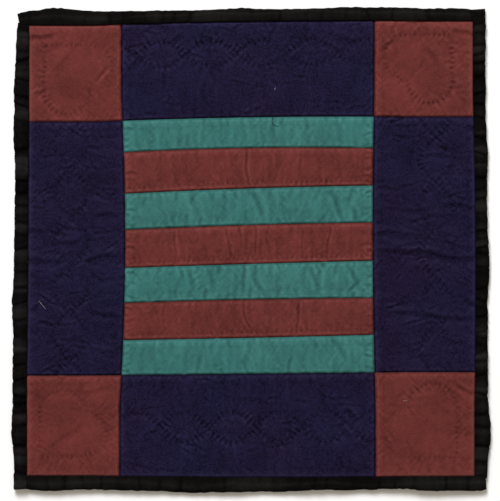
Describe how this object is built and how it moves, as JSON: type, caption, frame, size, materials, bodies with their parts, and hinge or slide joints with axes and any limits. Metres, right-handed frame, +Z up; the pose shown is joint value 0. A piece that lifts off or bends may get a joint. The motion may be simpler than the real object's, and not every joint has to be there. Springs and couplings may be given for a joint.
{
  "type": "pieced doll quilt",
  "caption": "Small hand-quilted bars quilt lying flat: pieced cotton top, batting, backing and a folded binding.",
  "frame": {"origin": "under the middle of the quilt, on the surface that it lies on", "axes": "+Z up through the face of the quilt, +Y towards its top edge, +X towards its right edge seen from above"},
  "size_m": [0.4256, 0.4334, 0.0053],
  "materials": {
    "red_cotton": "washed plain-weave cotton, matt",
    "navy_cotton": "washed plain-weave cotton, matt, faded towards plum",
    "teal_cotton": "washed plain-weave cotton, matt, unevenly faded",
    "black_cotton": "plain-weave cotton with a faint polish on its ripples",
    "backing_cotton": "washed plain-weave cotton, matt",
    "batting": "loose carded cotton wadding"
  },
  "bodies": {
    "root": {"corner_top_left": "red_cotton", "corner_top_right": "red_cotton", "corner_bottom_left": "red_cotton", "corner_bottom_right": "red_cotton", "border_top": "navy_cotton", "border_bottom": "navy_cotton", "border_left": "navy_cotton", "border_right": "navy_cotton", "bar_1_teal": "teal_cotton", "bar_2_red": "red_cotton", "bar_3_teal": "teal_cotton", "bar_4_red": "red_cotton", "bar_5_teal": "teal_cotton", "bar_6_red": "red_cotton", "bar_7_teal": "teal_cotton", "batting": "batting", "backing": "backing_cotton", "binding_top": "black_cotton", "binding_bottom": "black_cotton", "binding_left": "black_cotton", "binding_right": "black_cotton"}
  },
  "joints": []
}
